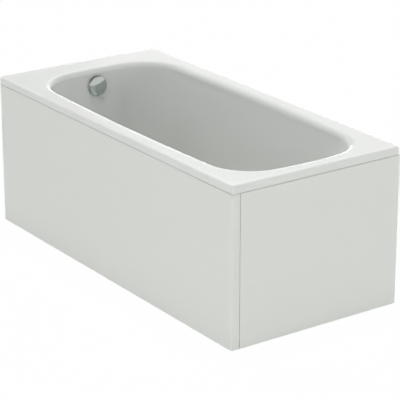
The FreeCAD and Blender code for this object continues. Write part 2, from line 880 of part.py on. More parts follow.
def lift_rocker():
    """The rocker that lifts the plug, drawn at rest with its nose down."""
    pivot = rocker_pivot()
    arm = rocker_arm()
    half = y_axis * (rocker_width / 2)
    drop = math.radians(rocker_swing / 2)
    nose = pivot + Vector(arm * math.cos(drop), 0, -arm * math.sin(drop))
    hub = rod(rocker_hub_r, pivot - half, pivot + half)
    tip = rod(rocker_nose_r, nose - half, nose + half)
    across = Vector(math.sin(drop), 0, math.cos(drop))
    lug = pivot - (nose - pivot).normalize() * rocker_lug
    thin = rocker_nose_r * rocker_taper_share
    corners = [lug + across * rocker_nose_r, nose + across * thin,
               nose - across * thin, lug - across * rocker_nose_r]
    blade = Part.Face(Part.makePolygon([c - half for c in corners + corners[:1]]))
    blade = blade.extrude(half * 2)
    bore = rod(rocker_pin_r + turning_fit, pivot - half * 2, pivot + half * 2)
    return joined(hub, tip, blade).cut(bore)


def rocker_pin():
    """The pin across the branch that the rocker swings on."""
    pivot = rocker_pivot()
    return rod(rocker_pin_r, pivot - y_axis * branch_r, pivot + y_axis * branch_r)


def drain_plug():
    """The domed plug with its stem, lying closed on its seal."""
    low = floor_height + rest_gap + plug_seal_thickness
    base = Vector(drain_x, 0, low)
    nose_top = rocker_pivot().z - plug_lift / 2 + rocker_nose_r
    stem_end = nose_top + rest_gap - low
    cap = turned([(0, 0), (0, plug_r), (plug_edge, plug_r - plug_edge / 2),
                  (plug_edge + plug_dome, plug_crown_r), (plug_edge + plug_dome, 0)], base, z_axis)
    stem = rod(plug_stem_r, base + z_axis * stem_end, base + z_axis * plug_edge)
    return joined(cap, stem)


def plug_seal():
    """The rubber ring under the plug."""
    low = Vector(drain_x, 0, floor_height + rest_gap)
    return tube(plug_seal_r, plug_stem_r, low, low + z_axis * plug_seal_thickness)


def trap_top():
    """The height of the waste body's outlet, where the trap begins."""
    return waste_top - waste_depth - waste_neck_length


def rounded_route(points):
    """Straight runs with a tangent arc at each point between them, and the least radius."""
    edges = []
    radii = []
    start = points[0]
    for before, corner, after in zip(points, points[1:], points[2:]):
        back_way = before - corner
        on_way = after - corner
        half_turn = (math.pi - back_way.getAngle(on_way)) / 2
        run = min(back_way.Length, on_way.Length) * bend_share
        radii.append(run / math.tan(half_turn))
        enter = corner + back_way.normalize() * run
        leave = corner + on_way.normalize() * run
        inwards = (back_way + on_way).normalize()
        middle = corner + inwards * (radii[-1] / math.cos(half_turn) - radii[-1])
        edges.append(Part.LineSegment(start, enter).toShape())
        edges.append(Part.Arc(enter, middle, leave).toShape())
        start = leave
    edges.append(Part.LineSegment(start, points[-1]).toShape())
    return edges, min(radii)


def bent_bar(radius, route):
    """A round bar along straight and round edges that meet smoothly."""
    runs = []
    for edge in route:
        first = edge.valueAt(edge.FirstParameter)
        last = edge.valueAt(edge.LastParameter)
        if isinstance(edge.Curve, Part.Circle):
            tangent = edge.tangentAt(edge.FirstParameter)
            disc = Part.Face(Part.Wire(Part.makeCircle(radius, first, tangent)))
            turn = math.degrees(edge.LastParameter - edge.FirstParameter)
            runs.append(disc.revolve(edge.Curve.Center, edge.Curve.Axis, turn))
        else:
            runs.append(rod(radius, first, last))
    return joined(*runs)


def mitred_bar(radius, points):
    """A round bar along straight runs that meet in mitres."""
    circle = Part.Wire(Part.makeCircle(radius, points[0], points[1] - points[0]))
    return Part.makePolygon(points).makePipeShell([circle], True, False, mitred)


def quarter_bend(centre, first, last, radius):
    """The two mitre points of a quarter turn about a centre, between two directions."""
    reach = radius / math.cos(math.pi / 8)
    turns = (math.pi / 8, math.pi * 3 / 8)
    return [centre + (first * math.cos(t) + last * math.sin(t)) * reach for t in turns]


def trap():
    """The water trap: down, round a half turn, up and out towards the wall."""
    top = trap_top() - rest_gap
    low = trap_bend_height()
    bend = trap_bend
    start = Vector(drain_x, 0, top)
    first = Vector(drain_x, bend, low)
    second = Vector(drain_x, bend * 3, low)
    outlet = trap_outlet()
    points = ([start] + quarter_bend(first, -y_axis, -z_axis, bend)
              + quarter_bend(first, -z_axis, y_axis, bend)
              + quarter_bend(second, -y_axis, z_axis, bend) + [outlet + y_axis * trap_wall])
    socket = rod(outlet_pipe_r + trap_socket_wall, outlet, outlet + y_axis * trap_socket)
    body = joined(mitred_bar(trap_pipe_r, points), socket)
    bore = mitred_bar(trap_pipe_r - trap_wall, points)
    seat = rod(outlet_pipe_r + turning_fit, outlet + y_axis * trap_wall,
               outlet + y_axis * (trap_socket + overrun))
    return body.cut([bore, seat])


def trap_bend_height():
    """The height at which the trap's bends begin, clear below its union nut."""
    return trap_top() - trap_nut_height / 2 - trap_wall


def trap_outlet():
    """The point where the trap's last bend turns level."""
    return Vector(drain_x, trap_bend * 3, trap_bend_height() + trap_bend)


def trap_nuts():
    """The nuts that join the trap to the waste body and to the outlet pipe."""
    low = Vector(drain_x, 0, trap_top() - trap_nut_height / 2)
    start = trap_outlet() + y_axis * (trap_socket + rest_gap)
    nuts = []
    for end, way in ((low, z_axis * trap_nut_height), (start, y_axis * outlet_nut_height)):
        spare = way * (overrun / way.Length)
        bore = rod(waste_neck_r + turning_fit, end - spare, end + way + spare)
        nuts.append(hexagon(trap_nut_flats, end, end + way).cut(bore))
    return group(nuts)


def outlet_pipe():
    """The straight waste pipe towards the wall, with a socket for the pipe that goes on."""
    start = trap_outlet() + y_axis * (trap_wall + rest_gap)
    end = Vector(start.x, outlet_pipe_end, start.z)
    seat_start = end - y_axis * outlet_socket
    outer = joined(rod(outlet_pipe_r, start, end),
                   rod(outlet_pipe_r + trap_socket_wall, seat_start - y_axis * trap_wall, end))
    bore = rod(outlet_pipe_r - trap_wall, start - y_axis * overrun, end)
    seat = rod(outlet_pipe_r + turning_fit, seat_start, end + y_axis * overrun)
    return outer.cut([bore, seat])


def along_overflow(distance):
    """A point on the overflow's axis, by its distance into the basin."""
    return overflow_point + inward * distance


def overflow_face():
    """The fixed strainer behind the knob, with the spindle's bearing and its screw holes."""
    plate = rod(overflow_face_r, along_overflow(rest_gap),
                along_overflow(rest_gap + overflow_face_thickness))
    back_side = along_overflow(-overrun)
    front_side = along_overflow(overflow_face_thickness + overrun)
    cuts = [rod(spindle_r + spindle_fit, back_side, front_side)]
    for side in (-1, 1):
        away = y_axis * (side * overflow_screw_ring)
        cuts.append(rod(screw_r, back_side + away, front_side + away))
    for slot in range(overflow_slots):
        turn = math.pi * (2 * slot + 1) / overflow_slots
        away = down_wall * math.cos(turn) + y_axis * math.sin(turn)
        away = away * overflow_slot_ring
        cuts.append(rod(overflow_slot_r, back_side + away, front_side + away))
    return plate.cut(cuts)


def overflow_screws():
    """The two countersunk screws that draw the face and the overflow body together."""
    screws = []
    head = rest_gap + overflow_face_thickness
    reach = head + shell_wall + rest_gap + overflow_gasket + bridge_thickness
    for side in (-1, 1):
        seat = along_overflow(head) + y_axis * (side * overflow_screw_ring)
        screws.append(screw(seat, -inward, reach))
    return group(screws)


def overflow_body():
    """The box behind the end wall, with its spout and the gland of the control cable."""
    start = -shell_wall - rest_gap - overflow_gasket
    depth = start - overflow_body_depth
    wall = overflow_body_wall
    inner = overflow_body_r - wall
    cup = turned([(start, inner), (start, overflow_flange_r), (start - wall, overflow_flange_r),
                  (start - wall, overflow_body_r), (depth, overflow_body_r), (depth, 0),
                  (depth + wall, 0), (depth + wall, inner)], overflow_point, inward)
    axis = spout_axis()
    spout = rod(overflow_spout_r, axis, axis - z_axis * overflow_spout_reach)
    core = rod(inner, along_overflow(start), along_overflow(depth + wall))
    way = rod(pipe_r, axis, axis - z_axis * (overflow_spout_reach + overrun))
    gland = cable_gland(overflow_gland_point(), -z_axis)
    half = down_wall * bridge_half_width
    side = y_axis * (overflow_body_r - wall / 2)
    edge = along_overflow(start)
    corners = [edge + half + side, edge + half - side, edge - half - side, edge - half + side]
    bridge = Part.Face(Part.makePolygon(corners + corners[:1])).extrude(-inward * bridge_thickness)
    ends = along_overflow(start + overrun), along_overflow(start - bridge_thickness - overrun)
    holes = [rod(spindle_r + spindle_fit, *ends)]
    for away in (y_axis * overflow_screw_ring, -y_axis * overflow_screw_ring):
        holes.append(rod(screw_r, *[end + away for end in ends]))
    return joined(cup, spout.cut(core), gland.cut(core), bridge).cut([way] + holes)


def spout_axis():
    """The point in the overflow body above its spout."""
    middle = -shell_wall - rest_gap - overflow_gasket - overflow_body_depth / 2
    return along_overflow(middle)


def overflow_gland_point():
    """The mouth of the overflow body's cable gland, beside the spout."""
    axis = spout_axis()
    drop = math.sqrt(overflow_body_r ** 2 - cable_side ** 2) + cable_gland_length
    return Vector(axis.x, cable_side, axis.z - drop)


def overflow_knob():
    """The turning knob: a low domed cap with a hub and a nub at its lower edge."""
    low = knob_gap
    high = knob_gap + knob_depth
    flat = high - knob_dome
    inner = knob_r - knob_wall
    ceiling = flat - knob_wall
    edge = knob_r - knob_round
    dome = [(flat + knob_dome * (1 - share ** 2), edge * share) for share in knob_dome_shares]
    cap = turned([(low, inner), (low, knob_r), (flat - knob_round, knob_r), (flat, edge)] + dome
                 + [(high, 0), (ceiling, 0), (ceiling, inner)], overflow_point, inward)
    hub = rod(knob_hub_r, along_overflow((low + flat) / 2), along_overflow(ceiling + turning_fit))
    side = down_wall * knob_r
    nub = rod(knob_nub_r, along_overflow(low) + side, along_overflow(flat - knob_round) + side)
    keep = tube(knob_r + knob_nub_out, inner, along_overflow(low), along_overflow(high))
    nub = nub.common(keep)
    hole = rod(spindle_r, along_overflow(low), along_overflow(ceiling))
    return joined(cap, hub, nub).cut(hole)


def knob_spindle():
    """The spindle behind the knob, with the crank that pulls the cable."""
    start = knob_gap + knob_depth - knob_dome - knob_wall
    end = start - spindle_length
    shaft = rod(spindle_r, along_overflow(end), along_overflow(start))
    turn = math.radians(knob_turn / 2)
    aside = y_axis * math.sin(turn) - down_wall * math.cos(turn)
    across = aside.cross(inward) * (spindle_r / 2)
    root = along_overflow(end)
    tip = root + aside * crank_r
    corners = [root + across, tip + across, tip - across, root - across]
    arm = Part.Face(Part.makePolygon(corners + corners[:1])).extrude(inward * crank_thickness)
    return joined(shaft, arm)


def overflow_pipe():
    """The pipe from the overflow body's spout down and across to the waste body."""
    top = spout_axis() - z_axis * (overflow_spout_reach - pipe_nut_height / 2)
    corner = Vector(top.x + pipe_bend, 0, branch_z + pipe_bend)
    end = Vector(drain_x - branch_reach + pipe_nut_height / 2, 0, branch_z)
    points = [top] + quarter_bend(corner, -x_axis, -z_axis, pipe_bend) + [end]
    return mitred_bar(pipe_r, points).cut(mitred_bar(pipe_r - pipe_wall, points))


def pipe_nuts():
    """The nuts that grip the pipe at the spout and at the branch."""
    spout_end = spout_axis() - z_axis * overflow_spout_reach
    branch_end = Vector(drain_x - branch_reach, 0, branch_z)
    nuts = []
    for end, away in ((spout_end, -z_axis), (branch_end, -x_axis)):
        start = end + away * rest_gap
        stop = start + away * pipe_nut_height
        bore = rod(pipe_r + turning_fit, start - away * overrun, stop + away * overrun)
        nuts.append(hexagon(pipe_nut_flats, start, stop).cut(bore))
    return group(nuts)


def cable_route():
    """The control cable's route, from the overflow body's gland to the waste body's gland."""
    start = overflow_gland_point() + z_axis * (cable_gland_length / 2)
    end = waste_gland_point() + x_axis * (cable_gland_length / 2)
    return [start, Vector(start.x, start.y, end.z), end]


def control_cable():
    """The sheathed cable that carries the knob's turn to the rocker."""
    route, least = rounded_route(cable_route())
    print("control_cable least bend radius", round(least, 1))
    return bent_bar(cable_r, route)


def timber_screws():
    """Every screw that fastens the leg bars and the panel clips to the timber."""
    places = bar_screw_places(bar_overflow_x) + bar_screw_places(bar_back_x)
    return group([screw(place, z_axis, screw_bite) for place in places + clip_screw_places()])


def all_parts():
    """Every node of the tub by name."""
    parts = {"bath_shell": bath_shell(), "base_board": base_board()}
    parts.update(battens())
    for name, x in (("overflow_end", bar_overflow_x), ("back_end", bar_back_x)):
        parts["leg_bar_" + name] = leg_bar(x)
        parts["foot_nuts_" + name] = group(foot_nuts(x))
    feet = [(x, y) for x in (bar_overflow_x, bar_back_x) for y in (-foot_y, foot_y)]
    for number, (x, y) in enumerate(feet, start=1):
        parts["foot_rod_%d" % number] = foot_rod(x, y)
        parts["foot_pad_%d" % number] = foot_pad(x, y)
    parts["front_panel"] = front_panel()
    parts["end_panel"] = end_panel()
    for number, centre in enumerate(front_clip_centres(), start=1):
        parts["front_panel_clip_%d" % number] = panel_clip(centre, -y_axis)
    for number, centre in enumerate(end_clip_centres(), start=1):
        parts["end_panel_clip_%d" % number] = panel_clip(centre, x_axis)
    for number, x in enumerate((bar_overflow_x, bar_back_x), start=1):
        parts["front_panel_stay_%d" % number] = panel_stay(x)
    for number, share in enumerate(end_angle_shares, start=1):
        parts["end_panel_angle_%d" % number] = floor_angle(tub_width * share)
    for name, (centre, outwards) in bracket_places().items():
        parts[name] = wall_bracket(centre, outwards)
    parts["timber_screws"] = timber_screws()
    parts["drain_flange"] = drain_flange()
    parts["waste_gaskets"] = waste_gaskets()
    parts["waste_body"] = waste_body()
    parts["lift_rocker"] = lift_rocker()
    parts["rocker_pin"] = rocker_pin()
    parts["drain_plug"] = drain_plug()
    parts["plug_seal"] = plug_seal()
    parts["trap"] = trap()
    parts["trap_nuts"] = trap_nuts()
    parts["outlet_pipe"] = outlet_pipe()
    parts["overflow_face"] = overflow_face()
    parts["overflow_screws"] = overflow_screws()
    parts["overflow_body"] = overflow_body()
    parts["overflow_knob"] = overflow_knob()
    parts["knob_spindle"] = knob_spindle()
    parts["overflow_pipe"] = overflow_pipe()
    parts["pipe_nuts"] = pipe_nuts()
    parts["control_cable"] = control_cable()
    return parts


os.makedirs("parts", exist_ok=True)
for name, shape in all_parts().items():
    sound = all(solid.isValid() and solid.Volume > 0 for solid in shape.Solids)
    print(name, len(shape.Solids), "solid", round(shape.Volume), "valid" if sound else "NOT VALID")
    shape.exportStep("parts/" + name + ".step")
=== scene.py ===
# %% [markdown]
# A built-in bathtub, dressed in its real materials.
#
# The solids come from CAD and stay where they are. This lesson adds what the solids lack: the
# camera and light of a catalogue picture, a finish for every part, and smooth skins for the
# pieces whose curves catch the light. Every new shape is worked out in millimetres as a surface
# of two parameters, and turned into a mesh in metres.

# %% Load the frame
import json
import math

import bmesh
import bpy
import numpy as np
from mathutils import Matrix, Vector


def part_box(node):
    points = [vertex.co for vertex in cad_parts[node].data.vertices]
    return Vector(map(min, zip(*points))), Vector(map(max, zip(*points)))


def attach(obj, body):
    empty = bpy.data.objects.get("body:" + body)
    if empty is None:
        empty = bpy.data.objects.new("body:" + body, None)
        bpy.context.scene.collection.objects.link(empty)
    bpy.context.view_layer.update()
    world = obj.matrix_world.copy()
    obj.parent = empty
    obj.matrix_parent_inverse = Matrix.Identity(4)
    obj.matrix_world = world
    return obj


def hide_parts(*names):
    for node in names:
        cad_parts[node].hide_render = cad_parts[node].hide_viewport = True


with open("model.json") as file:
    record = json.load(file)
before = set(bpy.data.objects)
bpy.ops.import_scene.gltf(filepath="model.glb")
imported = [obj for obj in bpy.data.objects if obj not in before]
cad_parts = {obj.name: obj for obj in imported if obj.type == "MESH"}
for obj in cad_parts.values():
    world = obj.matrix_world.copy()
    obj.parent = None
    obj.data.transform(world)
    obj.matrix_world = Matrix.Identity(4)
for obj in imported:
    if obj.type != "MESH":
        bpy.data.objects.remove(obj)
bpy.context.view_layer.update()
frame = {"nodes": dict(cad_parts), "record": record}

mm = 0.001

# %% [markdown]
# The camera. The picture was taken from the front right corner, a little above the rim, with a
# long lens, so that the edges hardly converge. The eye's place is given by two angles, the
# distance, and how far the bath's centre lies beside and below the middle of the picture.

# %% Place the camera
view_azimuth = 54.974
view_elevation = 20.266
view_distance = 7.0976
view_right = 0.0410
view_up = 0.2168
lens = 173.525
sensor = 36.0

azimuth, elevation = math.radians(view_azimuth), math.radians(view_elevation)
towards_eye = Vector((math.sin(azimuth) * math.cos(elevation),
                      -math.cos(azimuth) * math.cos(elevation), math.sin(elevation)))
picture_right = Vector((math.cos(azimuth), math.sin(azimuth), 0))
picture_up = towards_eye.cross(picture_right)

camera = bpy.data.objects.new("camera", bpy.data.cameras.new("camera"))
bpy.context.scene.collection.objects.link(camera)
camera.location = (towards_eye * view_distance + picture_right * view_right
                   + picture_up * view_up)
camera.rotation_mode = "QUATERNION"
camera.rotation_quaternion = towards_eye.to_track_quat("Z", "Y")
camera.data.lens = lens
camera.data.sensor_width = sensor
camera.data.clip_start = 0.1
camera.data.clip_end = 100
bpy.context.scene.camera = camera
print("the camera stands at", [round(x, 3) for x in camera.location])

# %% [markdown]
# Colours are written as they look on a screen. Blender's shaders want linear light, so one
# function turns each written colour to linear. A second small function adds any shader node,
# with its own properties, its socket values and its links in one call.

# %% Colour and node helpers
def linear(code):
    """The linear colour of a screen colour such as "F0F0EE", by the sRGB curve."""
    screen = np.array([int(code[k:k + 2], 16) for k in (0, 2, 4)]) / 255
    light = np.where(screen <= 0.04045, screen / 12.92, ((screen + 0.055) / 1.055) ** 2.4)
    return (*[float(channel) for channel in light], 1.0)


def add(tree, kind, inputs=None, **settings):
    """One node with its own settings, and each input given as a value or as a socket to link."""
    made = tree.nodes.new(kind)
    for name, value in settings.items():
        setattr(made, name, value)
    for name, value in (inputs or {}).items():
        if isinstance(value, bpy.types.NodeSocket):
            tree.links.new(value, made.inputs[name])
        else:
            made.inputs[name].default_value = value
    return made


def new_material(name, **values):
    """A named material and its node tree, with the shader's plain values set on its sockets."""
    material = bpy.data.materials.new(name)
    material.use_nodes = True
    shader = material.node_tree.nodes["Principled BSDF"]
    for socket, value in values.items():
        shader.inputs[socket.replace("_", " ")].default_value = value
    return material, material.node_tree, shader


print("half of screen white is", round(linear("808080")[0], 3), "of its light")

# %% [markdown]
# The light. A white product stands out from a white page only by its shading, so the light has
# to fall more strongly on the rim than on the panels. One large soft lamp overhead does most of
# it, and makes the roll into the basin shade off evenly. Six more stand far off all round, and
# two long low strips light the panels up to just below the rim. Only the lamps behind the bath
# show in mirrors, as a sheen on the rim; the others would leave glare on the knob. One of them is
# long and thin and lies on the horizon, where only the near roll mirrors it, as a bright line.

# %% Lamps
def area_lamp(name, turn, rise, power, distance=14, aim_height=0.4, size=(7, 7)):
    """A soft lamp in a direction, by two angles in degrees, that shines at the bath's middle."""
    turn, rise = math.radians(turn), math.radians(rise)
    away = Vector((math.sin(turn) * math.cos(rise), -math.cos(turn) * math.cos(rise),
                   math.sin(rise)))
    lamp = bpy.data.objects.new(name, bpy.data.lights.new(name, "AREA"))
    bpy.context.scene.collection.objects.link(lamp)
    lamp.location = Vector((0, 0, aim_height)) + distance * away
    lamp.rotation_mode = "QUATERNION"
    lamp.rotation_quaternion = away.to_track_quat("Z", "Y")
    lamp.data.shape = "RECTANGLE"
    lamp.data.size, lamp.data.size_y = size
    lamp.data.energy = power
    return lamp


rim_height = 0.577
mirrored_lamps = [area_lamp(*row) for row in (
    ("high_back_lamp", 225, 38, 207), ("high_end_lamp", 270, 38, 298),
    ("low_back_lamp", 225, 20, 54))]
fill_lamps = [area_lamp(*row) for row in (
    ("top_lamp", 0, 90, 1000), ("side_lamp", 135, 20, 447), ("front_lamp", 0, 20, 380))]
mirrored_lamps.append(area_lamp("horizon_lamp", 226, 1, 240, aim_height=rim_height,
                                size=(8, 0.9)))
strips = [area_lamp(name, turn, 0, power, distance=6, aim_height=0.33, size=(5, 0.6))
          for name, turn, power in (("front_strip", 15, 41), ("end_strip", 75, 65))]
for strip in strips:
    strip.data.color = linear("FCFFF8")[:3]
for lamp in strips + fill_lamps:
    lamp.visible_glossy = False
print({lamp.name: round(lamp.data.energy) for lamp in mirrored_lamps + fill_lamps + strips},
      "watts")

# %% [markdown]
# The studio beyond the bath. The camera sees pure white behind the object, and so do rays through
# glass. Mirrors see that white too, but only low down: from twenty to forty degrees up the studio
# darkens, so that chrome gets a dark side. All other rays find a tenth of the white, which is the
# soft light from everywhere.

# %% World
def seen_rays(tree):
    """Two sockets that are 1 for straight rays, and 1 for straight or mirrored rays."""
    path = add(tree, "ShaderNodeLightPath")
    straight = add(tree, "ShaderNodeMath", {0: path.outputs["Is Camera Ray"],
                   1: path.outputs["Is Transmission Ray"]}, operation="MAXIMUM")
    seen = add(tree, "ShaderNodeMath", {0: straight.outputs[0],
               1: path.outputs["Is Glossy Ray"]}, operation="MAXIMUM")
    return straight.outputs[0], seen.outputs[0]


light_from_everywhere, overhead_white = 0.103, 0.25
world = bpy.data.worlds.new("studio")
bpy.context.scene.world = world
world.use_nodes = True
tree = world.node_tree
background = tree.nodes["Background"]
straight, seen = seen_rays(tree)
direction = add(tree, "ShaderNodeTexCoord")
height = add(tree, "ShaderNodeSeparateXYZ", {0: direction.outputs["Generated"]})
overhead = add(tree, "ShaderNodeMapRange", {"Value": height.outputs["Z"], "From Min": 0.35,
               "From Max": 0.65, "To Min": 1.0, "To Max": overhead_white})
shown = add(tree, "ShaderNodeMath", {0: straight, 1: overhead.outputs[0]}, operation="MAXIMUM")
strength = add(tree, "ShaderNodeMapRange", {"Value": seen, "To Min": light_from_everywhere,
               "To Max": shown.outputs[0]})
tree.links.new(strength.outputs[0], background.inputs["Strength"])
background.inputs["Color"].default_value = linear("FFFFFF")
bpy.context.scene.view_settings.view_transform = "Standard"
print("the studio gives", light_from_everywhere, "of the white that the camera sees")

# %% [markdown]
# The floor is a very large matt square. To the camera it glows white, with two parts in a hundred
# of its own lit surface, and to the light it is a plain pale floor that throws light back up.

# %% Floor
floor_half, glow_share = 40.0, 0.98
floor_mesh = bpy.data.meshes.new("floor")
floor_mesh.from_pydata([(-floor_half, -floor_half, 0), (floor_half, -floor_half, 0),
                        (floor_half, floor_half, 0), (-floor_half, floor_half, 0)],
                       [], [(0, 1, 2, 3)])
floor = bpy.data.objects.new("floor", floor_mesh)
bpy.context.scene.collection.objects.link(floor)

floor_paint, tree, shader = new_material("white_studio_floor", Base_Color=linear("F2F2F2"),
                                         Roughness=0.9)
glow = add(tree, "ShaderNodeEmission", {"Color": linear("FFFFFF"), "Strength": 1.0})
straight, seen = seen_rays(tree)
share = add(tree, "ShaderNodeMapRange", {"Value": seen, "To Min": 0.0, "To Max": glow_share})
blended = add(tree, "ShaderNodeMixShader", {0: share.outputs[0], 1: shader.outputs[0],
              2: glow.outputs[0]})
tree.links.new(blended.outputs[0], tree.nodes["Material Output"].inputs["Surface"])
floor_mesh.materials.append(floor_paint)
print("the floor is", 2 * floor_half, "metres wide")

# %% [markdown]
# Sanitary acrylic. The shell is a sheet of cast acrylic drawn by vacuum into a mould. The eye
# sees a deep even white, sharp highlights on the rolled edges, and a very faint long waviness
# from the drawing. The panels are the same sheet with a softer gloss.

# %% Acrylic
def waviness(tree, shader, wave_length, depth):
    """Links a slow noise bump of that wave length and depth, both in metres, to a shader."""
    place = add(tree, "ShaderNodeTexCoord")
    noise = add(tree, "ShaderNodeTexNoise", {"Vector": place.outputs["Object"],
                "Scale": 1 / wave_length, "Detail": 1.0})
    bump = add(tree, "ShaderNodeBump", {"Height": noise.outputs["Fac"], "Distance": depth,
               "Strength": 1.0})
    tree.links.new(bump.outputs["Normal"], shader.inputs["Normal"])


white_acrylic, tree, shader = new_material("vacuum_formed_white_acrylic",
                                           Base_Color=linear("E6E8E5"), Roughness=0.16, IOR=1.49)
waviness(tree, shader, 0.16, 0.0004)

white_panel, tree, shader = new_material("white_acrylic_panel_sheet",
                                         Base_Color=linear("E6E8E4"), Roughness=0.42, IOR=1.49)
waviness(tree, shader, 0.22, 0.0005)
print("two sheets of acrylic:", white_acrylic.name, white_panel.name)

# %% [markdown]
# Chrome, brass and zinc-plated steel. Chrome plating is a mirror with a slightly cool grey colour.
# Turned brass is warmer and not quite as smooth. Zinc-plated strip has a soft cloudy sheen
# from the bath it was plated in, with clouds a few millimetres across.

# %% Metals
def clouds(tree, shader, size, socket, low, high):
    """Links noise with clouds of that size in metres to a socket, between two values."""
    place = add(tree, "ShaderNodeTexCoord")
    noise = add(tree, "ShaderNodeTexNoise", {"Vector": place.outputs["Object"],
                "Scale": 1 / size, "Detail": 4.0})
    span = add(tree, "ShaderNodeMapRange", {"Value": noise.outputs["Fac"], "From Min": 0.3,
               "From Max": 0.7, "To Min": low, "To Max": high})
    tree.links.new(span.outputs[0], shader.inputs[socket])


def mottled(tree, shader, size, first, second):
    """Links a colour that drifts between two screen colours in clouds of that size."""
    place = add(tree, "ShaderNodeTexCoord")
    noise = add(tree, "ShaderNodeTexNoise", {"Vector": place.outputs["Object"],
                "Scale": 1 / size, "Detail": 5.0})
    span = add(tree, "ShaderNodeMapRange", {"Value": noise.outputs["Fac"], "From Min": 0.35,
               "From Max": 0.65})
    colour = add(tree, "ShaderNodeMix", {0: span.outputs[0], 6: linear(first),
                 7: linear(second)}, data_type="RGBA")
    tree.links.new(colour.outputs[2], shader.inputs["Base Color"])


chrome, tree, shader = new_material("polished_chrome_plate", Base_Color=linear("B9BEBC"),
                                    Metallic=1.0)
clouds(tree, shader, 0.03, "Roughness", 0.05, 0.09)

brass, tree, shader = new_material("turned_brass", Metallic=1.0)
mottled(tree, shader, 0.008, "C9A75A", "B8954B")
clouds(tree, shader, 0.004, "Roughness", 0.25, 0.38)

zinc, tree, shader = new_material("zinc_plated_steel", Metallic=1.0)
mottled(tree, shader, 0.006, "C2C5C8", "A9ADB1")
clouds(tree, shader, 0.004, "Roughness", 0.32, 0.5)
print("three metals:", chrome.name, brass.name, zinc.name)

# %% [markdown]
# Particle board. The board under the floor and the battens under the rim are raw chipboard:
# flat flakes of wood a few millimetres long, pressed with glue, from straw to light brown.

# %% Particle board
board, tree, shader = new_material("raw_particle_board", Roughness=0.85)
place = add(tree, "ShaderNodeTexCoord")
flakes = add(tree, "ShaderNodeTexVoronoi", {"Vector": place.outputs["Object"],
             "Scale": 1 / 0.004})
shade = add(tree, "ShaderNodeSeparateColor", {"Color": flakes.outputs["Color"]})
flake_colour = add(tree, "ShaderNodeMix", {0: shade.outputs[0], 6: linear("D9BE93"),
                   7: linear("A8814F")}, data_type="RGBA")
tree.links.new(flake_colour.outputs[2], shader.inputs["Base Color"])
bump = add(tree, "ShaderNodeBump", {"Height": shade.outputs[1], "Distance": 0.0003})
tree.links.new(bump.outputs["Normal"], shader.inputs["Normal"])
print("boards:", board.name)

# %% [markdown]
# Plastics and rubber. The trap and pipes are moulded polypropylene in a warm white with the
# faint grain of the mould. The foot pads and the cable's sheath are black plastic. The washers
# are soft black rubber, so dull that they hardly reflect.

# %% Plastics and rubber
def moulded(name, first, second, roughness, grain):
    """A moulded plastic or rubber whose colour drifts a little and whose skin has a grain."""
    material, tree, shader = new_material(name, Roughness=roughness, IOR=1.49)
    mottled(tree, shader, 0.05, first, second)
    waviness(tree, shader, grain, grain * 0.06)
    return material


polypropylene = moulded("moulded_polypropylene", "DEDDD8", "D6D5CF", 0.38, 0.0015)
black_plastic = moulded("black_moulded_nylon", "17181A", "1E1F21", 0.45, 0.001)
rubber = moulded("black_nitrile_rubber", "121212", "1A1A1A", 0.75, 0.0008)
print("three mouldings:", polypropylene.name, black_plastic.name, rubber.name)

# %% [markdown]
# The record names a material slot for every solid. One table gives each slot its finish, so a
# solid that stays as it is needs no line of its own.

# %% Finishes on the solids
materials_by_slot = {
    "white_acrylic": white_acrylic, "white_panel": white_panel, "timber_board": board,
    "zinc_steel": zinc, "chrome": chrome, "brass": brass, "black_rubber": rubber,
    "black_plastic": black_plastic, "grey_plastic": polypropylene,
}
slot_of = {row["node"]: row["material_slot"] for row in frame["record"]["subparts"]}
for node_name, node_object in frame["nodes"].items():
    node_object.data.materials.clear()
    node_object.data.materials.append(materials_by_slot[slot_of[node_name]])
print(len(frame["nodes"]), "solids have", len(materials_by_slot), "finishes")

# %% [markdown]
# From arrays to faces. Every new piece is a grid of points, worked out as one array: rows run
# along a profile and columns run round the piece. Neighbouring points make four-sided faces. The
# grid may close on itself in one or both directions. The volume inside tells whether the faces
# look outwards: if they look inwards, it comes out negative.

# %% Grid faces
def grid_faces(rows, columns, close_rows, close_columns):
    """The four corners of each cell of a grid, as an array of point numbers."""
    row = np.arange(rows if close_rows else rows - 1)[:, None]
    column = np.arange(columns if close_columns else columns - 1)[None, :]
    next_row, next_column = (row + 1) % rows, (column + 1) % columns
    cells = [row * columns + column, row * columns + next_column,
             next_row * columns + next_column, next_row * columns + column]
    return np.stack(np.broadcast_arrays(*cells), axis=-1).reshape(-1, 4)


def signed_volume(points, faces):
    """The volume inside closed faces: the sum of a . (b x c) / 6 over both halves of each."""
    a, b, c, d = (points[faces[:, k]] for k in range(4))
    return (np.einsum("ij,ij->", a, np.cross(b, c)) + np.einsum("ij,ij->", a, np.cross(c, d))) / 6


print("a closed strip of 2 by 12 points has", len(grid_faces(2, 12, False, True)), "faces")

# %% [markdown]
# From faces to objects. Points that fall together, such as the pole of a turned shape, are merged,
# and faces without an area go, so that every mesh is closed. The faces are turned round where the
# volume is negative. Shading is smooth, except along edges that are really sharp.

# %% Mesh objects
def merge_points(mesh, distance):
    """Merges points closer than a distance in metres, and takes out faces with no area."""
    work = bmesh.new()
    work.from_mesh(mesh)
    bmesh.ops.remove_doubles(work, verts=work.verts, dist=distance)
    bmesh.ops.dissolve_degenerate(work, dist=distance, edges=work.edges)
    work.to_mesh(mesh)
    work.free()


def finished(name, mesh, material, sharp=32):
    """Links a mesh as an object, smooth except along edges sharper than an angle."""
    mesh.shade_smooth()
    mesh.set_sharp_from_angle(angle=math.radians(sharp))
    mesh.materials.clear()
    mesh.materials.append(material)
    piece = bpy.data.objects.new(name, mesh)
    bpy.context.scene.collection.objects.link(piece)
    return piece


